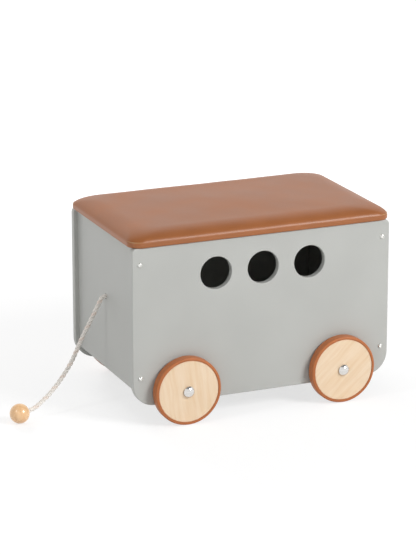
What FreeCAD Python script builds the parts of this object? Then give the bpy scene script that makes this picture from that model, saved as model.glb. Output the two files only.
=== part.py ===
import FreeCAD, Part

import math
import os

# A wooden toy box on four wheels, with a padded lift-off lid and a pull cord that ends in a ball.
# Millimetres. The origin is on the floor under the middle of the box, +X runs to the right along
# the length, +Y to the back and +Z up. The front panel faces -Y, the cord comes out of the left end.

V = FreeCAD.Vector
X = V(1, 0, 0)
Y = V(0, 1, 0)
Z = V(0, 0, 1)

# Box boards
box_length = 600.0  # over the ends of the front and back panels
box_depth = 368.0  # over the outer faces of the front and back panels
panel_height = 350.0  # of the front and back panels
panel_lift = 46.0  # bottom edge of the front and back panels above the floor
board = 15.0  # thickness of all four walls
top_corner_radius = 10.0
bottom_corner_radius = 50.0
edge_rounding = 2.0  # softened long edges of every wall
end_recess = 10.0  # outer face of an end panel in from the ends of the long panels
end_height = 320.0  # of the end panels, whose top edges are level with the long panels
window_radius = 36.0
window_pitch = 109.0
window_drop = 73.0  # window centres below the top edge
window_rounding = 1.5

# Bottom board, held in grooves all round
bottom_thickness = 9.0
bottom_rise = 12.0  # underside of the bottom board above the axles
groove_depth = 5.0
groove_clearance = 0.15

# Knock-down joints in the four corners: M6 button-head bolts, barrel nuts and dowels
bolt_radius = 2.95
bolt_length = 50.0
bolt_hole_radius = 3.25
bolt_end_room = 2.0  # hole beyond the end of the bolt
bolt_head_radius = 5.25
bolt_head_height = 3.3
bolt_crown_radius = 2.9  # flat on top of the domed head
hex_across_flats = 4.0
hex_depth = 2.1
bolt_top_drop = 36.0  # upper bolts below the top edge
bolt_bottom_rise = 9.0  # lower bolts above the bottom board
nut_radius = 5.0
nut_length = 13.0
nut_bore_radius = 3.0
nut_setback = 30.0  # nut axis in from the end panel's edge
nut_hole_clearance = 0.1
nut_cover = 0.3  # nut below the inner face of the end panel
dowel_radius = 4.0
dowel_length = 30.0
dowel_in_panel = 10.0
dowel_clearance = 0.05
dowel_drops = (96.0, 196.0)  # dowels below the top edge

# Wheels: a birch disc with a rubber tyre, free on a fixed steel axle
wheel_radius = 75.0
wheel_spacing = 365.0  # from axle to axle
tyre_width = 22.0
tyre_depth = 6.5  # rubber outside the disc
tyre_rounding = 3.5
tyre_lip_rounding = 0.8
tyre_proud = 1.0  # tyre stands out past both faces of the disc
rib_width = 6.0  # inside the tyre, in a groove round the disc
rib_depth = 2.0
disc_bevel = 1.0
wheel_gap = 3.0  # from the long panel to the tyre
running_gap = 0.3  # beside a turning disc
axle_radius = 5.0
axle_end_rounding = 0.8
running_clearance = 0.08  # disc bore round the axle
bush_radius = 8.0
bush_flange_radius = 12.0
bush_flange_rounding = 0.8
bush_hole_clearance = 0.05
bush_bore_clearance = 0.05
washer_radius = 10.5
washer_thickness = 1.0
cap_radius = 12.3
cap_height = 8.0
cap_rim = 2.0  # straight rim below the dome
cap_wall = 1.0
cap_grip_clearance = 0.02  # teeth of the cap round the axle
axle_in_cap = 4.0  # axle end above the foot of the cap

# Lid: board, foam and a stretched cover, with battens below that keep it in place
lid_overhang_x = 3.0  # past the ends of the long panels
lid_overhang_y = 4.0  # past their outer faces
lid_corner_radius = 28.0
lid_seat_gap = 0.3
lid_board_thickness = 12.0
foam_thickness = 16.0
cover_thickness = 1.0
lid_top_rounding = 13.0
lid_bottom_rounding = 3.0
cover_lip = 18.0  # cover turned in under the board
dust_cover_thickness = 0.8
dust_cover_margin = 1.0  # short of the cover's lip
batten_width = 15.0
batten_height = 12.0
batten_bevel = 2.0
batten_play = 3.5  # from a batten to the wall beside it
long_batten_length = 500.0
short_batten_length = 250.0
screw_radius = 1.6
screw_length = 20.0
screw_head_radius = 3.6
screw_head_height = 2.4
screw_slot_length = 4.0
screw_slot_width = 0.8
screw_clearance = 0.05
screw_end_inset = 30.0
long_batten_screws = 4
short_batten_screws = 3
staple_width = 10.0
staple_wire = 1.0
staple_crown = 0.6  # flattened wire across the top
staple_leg = 7.0
staple_sunk = 0.1
staple_pitch = 60.0
staple_end_room = 60.0  # no staples nearer than this to a corner

# Pull cord, knotted inside the left end panel and glued into a ball that lies on the floor
cord_radius = 5.0
cord_hole_radius = 6.2
knot_radius = 13.5
knot_length = 24.0
knot_rounding = 4.0
ball_radius = 21.5
ball_bore_depth = 8.0
ball_bore_clearance = 0.15
cord_route = (
    (-290.0, 0.0, 241.0),
    (-295.5, 0.0, 241.0),
    (-300.6, -1.2, 238.2),
    (-305.5, -2.9, 231.4),
    (-313.2, -5.1, 219.2),
    (-327.5, -8.7, 196.0),
    (-355.8, -15.2, 151.7),
    (-376.8, -20.3, 111.1),
    (-402.9, -26.4, 78.0),
    (-431.1, -33.0, 50.6),
    (-457.2, -39.1, 32.5),
    (-478.0, -44.5, 21.5),
    (-497.8, -51.2, 21.5),
)

# Places that follow from the sizes above
half_length = box_length / 2
outer_y = box_depth / 2
inner_y = outer_y - board
end_outer_x = half_length - end_recess
end_inner_x = end_outer_x - board
end_middle_x = end_outer_x - board / 2
rim_z = panel_lift + panel_height
end_bottom_z = rim_z - end_height
dowel_heights = tuple(rim_z - drop for drop in dowel_drops)
window_z = rim_z - window_drop
axle_z = wheel_radius
bottom_height = axle_z + axle_radius + bottom_rise
bottom_top = bottom_height + bottom_thickness
bolt_heights = (rim_z - bolt_top_drop, bottom_top + bolt_bottom_rise)
disc_radius = wheel_radius - tyre_depth
disc_near = wheel_gap + tyre_proud  # faces of the disc, measured outward from the long panel
disc_far = wheel_gap + tyre_width - tyre_proud
washer_near = disc_far + running_gap
cap_near = washer_near + washer_thickness
lid_half_x = half_length + lid_overhang_x
lid_half_y = outer_y + lid_overhang_y
lid_z = rim_z + lid_seat_gap
lid_board_z = lid_z + cover_thickness
foam_z = lid_board_z + lid_board_thickness
lid_height = lid_board_thickness + foam_thickness + 2 * cover_thickness
dust_cover_z = lid_board_z - dust_cover_thickness
batten_z = dust_cover_z - batten_height
ends = {"left": -1, "right": 1}
faces = {"front": -1, "back": 1}


def block(x0, x1, y0, y1, z0, z1):
    return Part.makeBox(x1 - x0, y1 - y0, z1 - z0, V(x0, y0, z0))


def rod(radius, start, end):
    return Part.makeCylinder(radius, start.distanceToPoint(end), start, end - start)


def group(solids):
    return Part.makeCompound(list(solids))


def mirrored(shape, normal):
    return shape.mirror(V(0, 0, 0), normal)


def unit(vector):
    return V(vector).normalize()


def rounded_path(points, radii, closed):
    """A wire of straight runs through the points, with a tangent arc of its radius at each corner."""
    count = len(points)
    corners = []
    for i, (point, radius) in enumerate(zip(points, radii)):
        if radius <= 0:
            corners.append((point, None, point))
            continue
        way_in = unit(point - points[i - 1])
        way_out = unit(points[(i + 1) % count] - point)
        half_turn = way_in.getAngle(way_out) / 2
        setback = radius * math.tan(half_turn)
        inward = unit(way_out - way_in)
        middle = point + inward * (radius / math.cos(half_turn) - radius)
        corners.append((point - way_in * setback, middle, point + way_out * setback))
    edges = []
    for i, (start, middle, end) in enumerate(corners):
        if middle is not None:
            edges.append(Part.Arc(start, middle, end).toShape())
        if i + 1 < count or closed:
            following = corners[(i + 1) % count][0]
            if end.distanceToPoint(following) > 1e-6:
                edges.append(Part.LineSegment(end, following).toShape())
    return Part.Wire(edges)


def turned(profile, radii, centre, outward):
    """A solid of revolution about Y. The profile's points are (radius, distance outward)."""
    points = [centre + X * radius + Y * (along * outward) for radius, along in profile]
    face = Part.Face(rounded_path(points, radii, True))
    solid = face.revolve(centre, Y, 360)
    return Part.Solid(solid) if solid.ShapeType != "Solid" else solid


def plan_block(half_x, half_y, corner, z0, height):
    """A block with rounded corners in plan."""
    quarters = ((1, 1), (-1, 1), (-1, -1), (1, -1))
    points = [V(end * half_x, side * half_y, z0) for end, side in quarters]
    face = Part.Face(rounded_path(points, [corner] * 4, True))
    return face.extrude(Z * height)


def edges_between(shape, low, high):
    """The edges that lie whole in the box between two corners."""
    room = FreeCAD.BoundBox(*(low - V(1e-3, 1e-3, 1e-3)), *(high + V(1e-3, 1e-3, 1e-3)))
    return [edge for edge in shape.Edges if room.isInside(edge.BoundBox)]


def edges_level(shape, z):
    reach = 10 * box_length
    return edges_between(shape, V(-reach, -reach, z), V(reach, reach, z))


# Walls


def corner_places():
    """(end sign, height) of the joints at one long panel."""
    for end in ends.values():
        for height in bolt_heights:
            yield end, height


def dowel_places():
    for end in ends.values():
        for height in dowel_heights:
            yield end, height


def both_faces(places):
    for end, height in places:
        for face in faces.values():
            yield end, face, height


def front_panel():
    low = V(-half_length, -outer_y, panel_lift)
    high = V(-half_length, -outer_y, rim_z)
    outline = [low, low + X * box_length, high + X * box_length, high]
    radii = [bottom_corner_radius, bottom_corner_radius, top_corner_radius, top_corner_radius]
    panel = Part.Face(rounded_path(outline, radii, True)).extrude(Y * board)
    reach = 2 * box_length
    for y in (-outer_y, -inner_y):
        rims = edges_between(panel, V(-reach, y, -reach), V(reach, y, reach))
        panel = panel.makeFillet(edge_rounding, rims)
    for step in (-1, 0, 1):
        centre = V(step * window_pitch, -outer_y, window_z)
        panel = panel.cut(rod(window_radius, centre - Y, centre + Y * (board + 1)))
    size = V(window_radius, 0, window_radius)
    for y in (-outer_y, -inner_y):
        for step in (-1, 0, 1):
            centre = V(step * window_pitch, y, window_z)
            panel = panel.makeFillet(window_rounding, edges_between(panel, centre - size, centre + size))
    for end, height in corner_places():
        start = V(end * end_middle_x, -outer_y - 1, height)
        panel = panel.cut(rod(bolt_hole_radius, start, start + Y * (board + 2)))
    for end, height in dowel_places():
        start = V(end * end_middle_x, -inner_y - dowel_in_panel, height)
        panel = panel.cut(rod(dowel_radius + dowel_clearance, start, start + Y * (dowel_in_panel + 1)))
    for end in ends.values():
        start = V(end * wheel_spacing / 2, -outer_y - 1, axle_z)
        panel = panel.cut(rod(bush_radius + bush_hole_clearance, start, start + Y * (board + 2)))
    return panel.cut(bottom_groove())


def bottom_groove():
    """The space that the bottom board's grooves take out of the walls."""
    x = end_inner_x + groove_depth
    y = inner_y + groove_depth
    z0 = bottom_height - groove_clearance
    z1 = bottom_top + groove_clearance
    return block(-x, x, -y, y, z0, z1)


def end_panel(end):
    x0, x1 = sorted((end * end_inner_x, end * end_outer_x))
    panel = block(x0, x1, -inner_y, inner_y, end_bottom_z, rim_z)
    panel = panel.makeFillet(edge_rounding, long_edges(panel))
    for face in faces.values():
        for height in bolt_heights:
            mouth = V(end * end_middle_x, face * (inner_y + 1), height)
            bottom = V(end * end_middle_x, face * (outer_y - bolt_length - bolt_end_room), height)
            panel = panel.cut(rod(bolt_hole_radius, mouth, bottom))
            panel = panel.cut(nut_hole(end, face, height))
        for height in dowel_heights:
            mouth = V(end * end_middle_x, face * (inner_y + 1), height)
            bottom = V(end * end_middle_x, face * (inner_y + dowel_in_panel - dowel_length), height)
            panel = panel.cut(rod(dowel_radius + dowel_clearance, mouth, bottom))
    return panel.cut(bottom_groove())


def long_edges(panel):
    """The edges of an end panel that run along Y."""
    return [edge for edge in panel.Edges if edge.BoundBox.YLength > inner_y]


def nut_place(end, face, height):
    """The inner end of a barrel nut's axis."""
    return V(end * (end_inner_x + nut_cover), face * (inner_y - nut_setback), height)


def nut_hole(end, face, height):
    start = nut_place(end, face, height)
    mouth = start - X * (end * (nut_cover + 1))
    bottom = start + X * (end * (nut_length + nut_cover))
    return rod(nut_radius + nut_hole_clearance, mouth, bottom)


def left_end_panel():
    start = V(*cord_route[0])
    inside = V(-end_inner_x + 1, start.y, start.z)
    hole = rod(cord_hole_radius, V(-end_outer_x - 1, start.y, start.z), inside)
    return end_panel(-1).cut(hole)


def bottom_panel():
    x = end_inner_x + groove_depth - groove_clearance
    y = inner_y + groove_depth - groove_clearance
    return block(-x, x, -y, y, bottom_height, bottom_top)


# Fasteners in the walls


def bolt(end, height):
    """A button-head bolt through the front panel, with a hexagon socket."""
    seat = V(end * end_middle_x, -outer_y, height)
    shank = rod(bolt_radius, seat, seat + Y * bolt_length)
    crown = (bolt_crown_radius, bolt_head_height)
    profile = [(0, 0), (bolt_head_radius, 0), crown, (0, bolt_head_height)]
    middle_radius = (bolt_head_radius + bolt_crown_radius) / 2 + bolt_head_height / 6
    points = [seat + X * radius - Y * along for radius, along in profile]
    bulge = seat + X * middle_radius - Y * (bolt_head_height * 0.6)
    outline = [
        Part.LineSegment(points[0], points[1]).toShape(),
        Part.Arc(points[1], bulge, points[2]).toShape(),
        Part.LineSegment(points[2], points[3]).toShape(),
        Part.LineSegment(points[3], points[0]).toShape(),
    ]
    head = Part.Face(Part.Wire(outline)).revolve(seat, Y, 360)
    top = seat - Y * (bolt_head_height + 1)
    flats = []
    for corner in range(7):
        angle = math.radians(60 * corner)
        reach = hex_across_flats / math.sqrt(3)
        flats.append(top + X * (reach * math.cos(angle)) + Z * (reach * math.sin(angle)))
    socket = Part.Face(Part.makePolygon(flats)).extrude(Y * (hex_depth + 1))
    return shank.fuse(head).removeSplitter().cut(socket)


def barrel_nut(end, face, height):
    start = nut_place(end, face, height)
    nut = rod(nut_radius, start, start + X * (end * nut_length))
    middle = V(end * end_middle_x, start.y, height)
    through = Y * (2 * nut_radius)
    return nut.cut(rod(nut_bore_radius, middle - through, middle + through))


def dowel(end, face, height):
    outer = V(end * end_middle_x, face * (inner_y + dowel_in_panel), height)
    return rod(dowel_radius, outer, outer - Y * (face * dowel_length))


# Wheels


def wheel_centre(end, face):
    """The point of a wheel's axis in the plane of the long panel's outer face."""
    return V(end * wheel_spacing / 2, face * outer_y, axle_z)


def axle(end):
    reach = outer_y + cap_near + axle_in_cap
    profile = [(0, -reach), (axle_radius, -reach), (axle_radius, reach), (0, reach)]
    roundings = [0, axle_end_rounding, axle_end_rounding, 0]
    return turned(profile, roundings, V(end * wheel_spacing / 2, 0, axle_z), 1)


def axle_bush(end, face):
    bore = axle_radius + bush_bore_clearance
    flange = disc_near - running_gap
    profile = [
        (bore, -board),
        (bush_radius, -board),
        (bush_radius, 0),
        (bush_flange_radius, 0),
        (bush_flange_radius, flange),
        (bore, flange),
    ]
    return turned(profile, [0, 0, 0, 0, bush_flange_rounding, 0], wheel_centre(end, face), face)


def rib_faces():
    middle = wheel_gap + tyre_width / 2
    return middle - rib_width / 2, middle + rib_width / 2


def wheel_disc(end, face):
    bore = axle_radius + running_clearance
    rib_near, rib_far = rib_faces()
    profile = [
        (bore, disc_near),
        (disc_radius - disc_bevel, disc_near),
        (disc_radius, disc_near + disc_bevel),
        (disc_radius, rib_near),
        (disc_radius - rib_depth, rib_near),
        (disc_radius - rib_depth, rib_far),
        (disc_radius, rib_far),
        (disc_radius, disc_far - disc_bevel),
        (disc_radius - disc_bevel, disc_far),
        (bore, disc_far),
    ]
    return turned(profile, [0] * len(profile), wheel_centre(end, face), face)


def tyre(end, face):
    rib_near, rib_far = rib_faces()
    profile = [
        (disc_radius, wheel_gap),
        (wheel_radius, wheel_gap),
        (wheel_radius, wheel_gap + tyre_width),
        (disc_radius, wheel_gap + tyre_width),
        (disc_radius, rib_far),
        (disc_radius - rib_depth, rib_far),
        (disc_radius - rib_depth, rib_near),
        (disc_radius, rib_near),
    ]
    radii = [tyre_lip_rounding, tyre_rounding, tyre_rounding, tyre_lip_rounding, 0, 0, 0, 0]
    return turned(profile, radii, wheel_centre(end, face), face)


def axle_washer(end, face):
    bore = axle_radius + bush_bore_clearance
    near, far = washer_near, cap_near
    profile = [(bore, near), (washer_radius, near), (washer_radius, far), (bore, far)]
    return turned(profile, [0, 0, 0, 0], wheel_centre(end, face), face)


def dome(centre, outward, radius, near, rim, height):
    """A solid dome about Y: a straight rim, then a cap of a sphere."""
    top = height - rim
    sphere_radius = (radius * radius + top * top) / (2 * top)
    low = near + rim
    side = math.asin(radius / sphere_radius) / 2
    bulge_along = low + top - sphere_radius + sphere_radius * math.cos(side)
    points = [(0, near), (radius, near), (radius, low), (0, low + top)]
    p = [centre + X * r + Y * (along * outward) for r, along in points]
    bulge = centre + X * (sphere_radius * math.sin(side)) + Y * (bulge_along * outward)
    outline = [
        Part.LineSegment(p[0], p[1]).toShape(),
        Part.LineSegment(p[1], p[2]).toShape(),
        Part.Arc(p[2], bulge, p[3]).toShape(),
        Part.LineSegment(p[3], p[0]).toShape(),
    ]
    return Part.Face(Part.Wire(outline)).revolve(centre, Y, 360)


def hub_cap(end, face):
    """A pressed dome with a toothed foot that grips the end of the axle."""
    centre = wheel_centre(end, face)
    outer = dome(centre, face, cap_radius, cap_near, cap_rim, cap_height)
    inner_rim = cap_rim - cap_wall
    height = cap_height - 2 * cap_wall
    inner = dome(centre, face, cap_radius - cap_wall, cap_near + cap_wall, inner_rim, height)
    foot_hole = rod(
        axle_radius + cap_grip_clearance,
        centre + Y * (face * (cap_near - 1)),
        centre + Y * (face * (cap_near + cap_wall + 0.5)),
    )
    return outer.cut(inner).cut(foot_hole)


# Lid


def lid_core():
    """Board and foam together, inside the cover."""
    half_x = lid_half_x - cover_thickness
    half_y = lid_half_y - cover_thickness
    height = lid_board_thickness + foam_thickness
    core = plan_block(half_x, half_y, lid_corner_radius - cover_thickness, lid_board_z, height)
    core = core.makeFillet(lid_top_rounding - cover_thickness, edges_level(core, lid_board_z + height))
    return core.makeFillet(lid_bottom_rounding - cover_thickness, edges_level(core, lid_board_z))


def lid_slab(z0, z1):
    """Room for everything in the lid between two heights."""
    return block(-box_length, box_length, -box_depth, box_depth, z0, z1)


def lid_board():
    return lid_core().common(lid_slab(lid_z, foam_z)).cut(screw_holes()).cut(cover_staples())


def lid_foam():
    return lid_core().common(lid_slab(foam_z, lid_z + lid_height))


def lid_cover():
    shell = plan_block(lid_half_x, lid_half_y, lid_corner_radius, lid_z, lid_height)
    shell = shell.makeFillet(lid_top_rounding, edges_level(shell, lid_z + lid_height))
    shell = shell.makeFillet(lid_bottom_rounding, edges_level(shell, lid_z))
    turned_in = cover_lip + cover_thickness
    mouth = plan_block(
        lid_half_x - turned_in,
        lid_half_y - turned_in,
        lid_corner_radius - turned_in,
        lid_z - 1,
        cover_thickness + 2,
    )
    return shell.cut(lid_core()).cut(mouth).cut(cover_staples())


def lid_dust_cover():
    """Thin cloth over the underside of the board, inside the cover's lip."""
    inset = cover_lip + cover_thickness + dust_cover_margin
    corner = lid_corner_radius - inset
    half_x, half_y = lid_half_x - inset, lid_half_y - inset
    sheet = plan_block(half_x, half_y, corner, dust_cover_z, dust_cover_thickness)
    return sheet.cut(screw_holes())


def long_batten(face):
    """A batten along X, just inside the front or back panel."""
    y = face * (inner_y - batten_play - batten_width / 2)
    half = long_batten_length / 2
    return batten(block(-half, half, y - batten_width / 2, y + batten_width / 2, batten_z, dust_cover_z))


def short_batten(end):
    x = end * (end_inner_x - batten_play - batten_width / 2)
    half = short_batten_length / 2
    return batten(block(x - batten_width / 2, x + batten_width / 2, -half, half, batten_z, dust_cover_z))


def batten(blank):
    return blank.makeChamfer(batten_bevel, edges_level(blank, batten_z)).cut(screw_holes())


def screw_places():
    """Heads of the batten screws, on the undersides of the battens."""
    for face in faces.values():
        y = face * (inner_y - batten_play - batten_width / 2)
        span = long_batten_length - 2 * screw_end_inset
        for step in range(long_batten_screws):
            yield V(span * (step / (long_batten_screws - 1) - 0.5), y, batten_z)
    for end in ends.values():
        x = end * (end_inner_x - batten_play - batten_width / 2)
        span = short_batten_length - 2 * screw_end_inset
        for step in range(short_batten_screws):
            yield V(x, span * (step / (short_batten_screws - 1) - 0.5), batten_z)


def countersunk(place, clearance):
    """A countersunk screw, or with a clearance the hole for it."""
    shank = rod(screw_radius + clearance, place, place + Z * (screw_length + clearance))
    head_radius = screw_head_radius + clearance
    head = Part.makeCone(head_radius, screw_radius + clearance, screw_head_height, place, Z)
    return shank.fuse(head).removeSplitter()


def batten_screws():
    slot_reach = screw_slot_length / 2
    half_width = screw_slot_width / 2
    depth = screw_head_height / 2
    first = block(-slot_reach, slot_reach, -half_width, half_width, -1, depth)
    second = block(-half_width, half_width, -slot_reach, slot_reach, -1, depth)
    screws = []
    for place in screw_places():
        cross = first.fuse(second)
        cross.translate(place)
        screws.append(countersunk(place, 0).cut(cross))
    return group(screws)


def screw_holes():
    return group(countersunk(place, screw_clearance) for place in screw_places())


def staple_stations(half):
    """Even steps along one side, clear of its corners."""
    count = int((half - staple_end_room) / staple_pitch)
    return [step * staple_pitch for step in range(-count, count + 1)]


def staple(x, y, along):
    """A flat staple driven up through the cover's lip into the board."""
    across = Y if along == X else X
    z0 = lid_z + staple_sunk
    centre = V(x, y, z0)
    low = centre - along * (staple_width / 2) - across * (staple_wire / 2)
    high = centre + along * (staple_width / 2) + across * (staple_wire / 2)
    crown = block(low.x, high.x, low.y, high.y, z0, z0 + staple_crown)
    legs = []
    for side in (-1, 1):
        foot = centre + along * (side * (staple_width - staple_wire) / 2)
        wire = V(staple_wire / 2, staple_wire / 2, 0)
        corner = foot - wire
        legs.append(block(corner.x, (foot + wire).x, corner.y, (foot + wire).y, z0, z0 + staple_leg))
    return crown.fuse(legs).removeSplitter()


def cover_staples():
    inset = cover_thickness + cover_lip / 2
    staples = []
    for x in staple_stations(lid_half_x):
        for face in faces.values():
            staples.append(staple(x, face * (lid_half_y - inset), X))
    for y in staple_stations(lid_half_y):
        for end in ends.values():
            staples.append(staple(end * (lid_half_x - inset), y, Y))
    return group(staples)


# Pull cord


def cord_corners():
    """The route's points, and at each inner point the radius of the bend there."""
    points = [V(*point) for point in cord_route]
    radii = [0.0]
    for before, point, after in zip(points, points[1:], points[2:]):
        turn = (point - before).getAngle(after - point)
        run = min(before.distanceToPoint(point), point.distanceToPoint(after))
        radii.append(0.45 * run / math.tan(turn / 2))
    radii.append(0.0)
    return points, radii


def pull_cord():
    points, radii = cord_corners()
    path = rounded_path(points, radii, False)
    section = Part.Wire(Part.Circle(points[0], points[1] - points[0], cord_radius).toShape())
    tube = path.makePipeShell([section], True, False)
    print("cord bend radii", [round(radius, 1) for radius in radii[1:-1]])
    expected = math.pi * cord_radius**2 * path.Length
    print("cord length", round(path.Length, 2))
    print("volume over section times length", tube.Volume / expected)
    return tube


def cord_knot():
    """The knot against the inner face of the left end panel, and the cord through the panel."""
    start = V(*cord_route[0])
    inside = V(-end_inner_x, start.y, start.z)
    stub = rod(cord_radius, start, inside + X * (knot_length / 2))
    knot = rod(knot_radius, inside, inside + X * knot_length)
    rims = [edge for edge in knot.Edges if edge.BoundBox.XLength < 1e-3]
    return knot.makeFillet(knot_rounding, rims).fuse(stub).removeSplitter()


def pull_ball():
    """The ball lies on the floor, and its bore holds the end of the cord."""
    end = V(*cord_route[-1])
    way = unit(end - V(*cord_route[-2]))
    centre = end + way * (ball_radius - ball_bore_depth)
    centre.z = ball_radius
    bore = rod(cord_radius + ball_bore_clearance, end - way * (2 * ball_bore_depth), end)
    return Part.makeSphere(ball_radius, centre).cut(bore)


def all_nodes():
    front = front_panel()
    front_bolts = group(bolt(end, height) for end, height in corner_places())
    nodes = {
        "front_panel": front,
        "back_panel": mirrored(front, Y),
        "left_end_panel": left_end_panel(),
        "right_end_panel": end_panel(1),
        "bottom_panel": bottom_panel(),
        "front_bolts": front_bolts,
        "back_bolts": mirrored(front_bolts, Y),
        "barrel_nuts": group(barrel_nut(*place) for place in both_faces(corner_places())),
        "corner_dowels": group(dowel(*place) for place in both_faces(dowel_places())),
        "lid_board": lid_board(),
        "lid_foam": lid_foam(),
        "lid_cover": lid_cover(),
        "lid_dust_cover": lid_dust_cover(),
        "batten_screws": batten_screws(),
        "cover_staples": cover_staples(),
        "cord_knot": cord_knot(),
        "pull_cord": pull_cord(),
        "pull_ball": pull_ball(),
    }
    for face_name, face in faces.items():
        nodes[f"{face_name}_batten"] = long_batten(face)
    for end_name, end in ends.items():
        nodes[f"{end_name}_batten"] = short_batten(end)
        nodes[f"{end_name}_axle"] = axle(end)
        for face_name, face in faces.items():
            place = f"{face_name}_{end_name}"
            nodes[f"{place}_disc"] = wheel_disc(end, face)
            nodes[f"{place}_tyre"] = tyre(end, face)
            nodes[f"{place}_bush"] = axle_bush(end, face)
            nodes[f"{place}_washer"] = axle_washer(end, face)
            nodes[f"{place}_hub_cap"] = hub_cap(end, face)
    return nodes


os.makedirs("parts", exist_ok=True)
for name, shape in all_nodes().items():
    shape.exportStep(f"parts/{name}.step")
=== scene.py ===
import math

import bpy
import numpy as np
from mathutils import Matrix, Vector


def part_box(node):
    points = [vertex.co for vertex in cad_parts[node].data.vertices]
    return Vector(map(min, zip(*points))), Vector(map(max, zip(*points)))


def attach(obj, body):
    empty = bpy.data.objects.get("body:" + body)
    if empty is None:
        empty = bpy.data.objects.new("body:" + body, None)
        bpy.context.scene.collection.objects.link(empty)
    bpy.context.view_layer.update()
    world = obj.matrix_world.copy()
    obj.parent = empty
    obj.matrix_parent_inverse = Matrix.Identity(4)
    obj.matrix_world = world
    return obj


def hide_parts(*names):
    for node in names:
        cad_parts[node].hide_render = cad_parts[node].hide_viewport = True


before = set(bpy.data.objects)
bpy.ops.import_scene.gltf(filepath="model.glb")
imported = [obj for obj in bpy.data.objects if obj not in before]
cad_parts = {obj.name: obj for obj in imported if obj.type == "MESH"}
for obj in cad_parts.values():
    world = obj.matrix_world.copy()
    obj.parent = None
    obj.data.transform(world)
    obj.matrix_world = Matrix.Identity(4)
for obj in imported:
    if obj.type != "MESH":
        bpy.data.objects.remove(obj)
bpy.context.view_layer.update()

bl_info = {
    "name": "Wooden Toy Box on Wheels",
    "version": (1, 0, 0),
    "blender": (4, 5, 0),
    "location": "3D View > Sidebar > Toy Box",
    "description": "Finishes a painted toy box: padded lid, pull cord, wheels and studio",
    "category": "Object",
}

MM = 0.001
MAIN_BODY = "box"
LID_BODY = "lid"

# Strands twisted into a rope press together: each is this much wider than one that only touches.
PRESSED_STRAND = 1.06

# The bore of the pull ball: its slack round the cord, its depth and the rounding of its mouth
BORE_SLACK, BORE_DEPTH, BORE_ROUNDING = 0.15 * MM, 8.6 * MM, 0.6 * MM

# The camera's place, its turn about the vertical and tilt, and its lens in millimetres
CAMERA_PLACE = (-2.1256, -4.8833, 1.8619)
CAMERA_TURN = math.radians(-23.14)
CAMERA_TILT = math.radians(16.52)
SENSOR_WIDTH = 36.0
LENS_LENGTH = 163.6891
LENS_SHIFT = (-0.0084865, -0.0263063)

# Each lamp's place, the point that it faces and the side of its square, in metres
FRONT_LAMP = ((2.2, -3.6, 2.9), (0.0, 0.0, 0.15), 1.7)
BACK_LAMP = ((-0.5, 3.8, 2.4), (0.0, 0.0, 0.15), 1.7)
SIDE_LAMP = ((-3.2, -0.8, 2.3), (-0.2, 0.0, 0.2), 0.5)

# The cord's route from the hole in the left end down to the ball on the floor, in metres.
CORD_ROUTE = (
    (-0.2900, 0.0000, 0.2410),
    (-0.2955, 0.0000, 0.2410),
    (-0.3006, -0.0012, 0.2382),
    (-0.3055, -0.0029, 0.2314),
    (-0.3132, -0.0051, 0.2192),
    (-0.3275, -0.0087, 0.1960),
    (-0.3558, -0.0152, 0.1517),
    (-0.3768, -0.0203, 0.1111),
    (-0.4029, -0.0264, 0.0780),
    (-0.4311, -0.0330, 0.0506),
    (-0.4572, -0.0391, 0.0325),
    (-0.4780, -0.0445, 0.0215),
    (-0.4978, -0.0512, 0.0215),
)


def linear(hex_colour):
    """An sRGB hex colour as linear red, green and blue from 0 to 1."""
    value = hex_colour.lstrip("#")
    parts = [int(value[i : i + 2], 16) / 255 for i in (0, 2, 4)]
    return tuple(c / 12.92 if c <= 0.04045 else ((c + 0.055) / 1.055) ** 2.4 for c in parts)


def with_alpha(colour):
    """A colour with its opacity of 1, as a socket takes it."""
    return (*tuple(colour)[:3], 1.0)


def shaded(colour, factor):
    """A colour made lighter or darker by a factor, each part kept under 1."""
    return tuple(min(1.0, c * factor) for c in tuple(colour)[:3])


# Sizes and colours that a user would change


def colour_property(name, description, hex_colour):
    return bpy.props.FloatVectorProperty(
        name=name,
        description=description,
        subtype="COLOR",
        size=3,
        min=0.0,
        max=1.0,
        default=linear(hex_colour),
    )


def length_property(name, description, default, most=1.0):
    return bpy.props.FloatProperty(
        name=name,
        description=description,
        subtype="DISTANCE",
        unit="LENGTH",
        min=0.0,
        max=most,
        precision=4,
        default=default,
    )


def power_property(name, description, default):
    return bpy.props.FloatProperty(
        name=name,
        description=description,
        subtype="POWER",
        unit="POWER",
        min=0.0,
        default=default,
    )


class ToyBoxFinishes(bpy.types.PropertyGroup):
    paint: colour_property("Paint", "Satin enamel on the walls", "#b8b9b5")
    birch: colour_property("Birch", "Face veneer of the wheel discs", "#f0d9bd")
    rubber: colour_property("Tyre Rubber", "Moulded rubber of the tyres", "#b46c40")
    leatherette: colour_property("Leatherette", "Cover of the padded lid", "#a06032")
    cotton: colour_property("Cotton", "Twisted cotton of the pull cord", "#f6f1ea")
    ball: colour_property("Ball", "Lacquered wood of the pull ball", "#f9cf9f")


class ToyBoxCushion(bpy.types.PropertyGroup):
    shoulder_width: length_property(
        "Shoulder Width", "How far in from the edge the top starts to fall", 50 * MM
    )
    shoulder_height: length_property(
        "Shoulder Height", "Height over which the top falls to the side", 21 * MM
    )
    crown: length_property("Crown", "How far the middle stands above the shoulder", 3 * MM)
    edge_rounding: length_property(
        "Edge Rounding", "Radius where the cover turns under the board", 3 * MM
    )
    corner_radius: length_property("Corner Radius", "Radius of the corners in plan", 28 * MM)
    lip: length_property("Lip", "Cover turned in under the board", 19 * MM)
    unevenness: length_property(
        "Unevenness", "How far the foam lets the cover rise and dip", 0.7 * MM
    )


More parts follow.
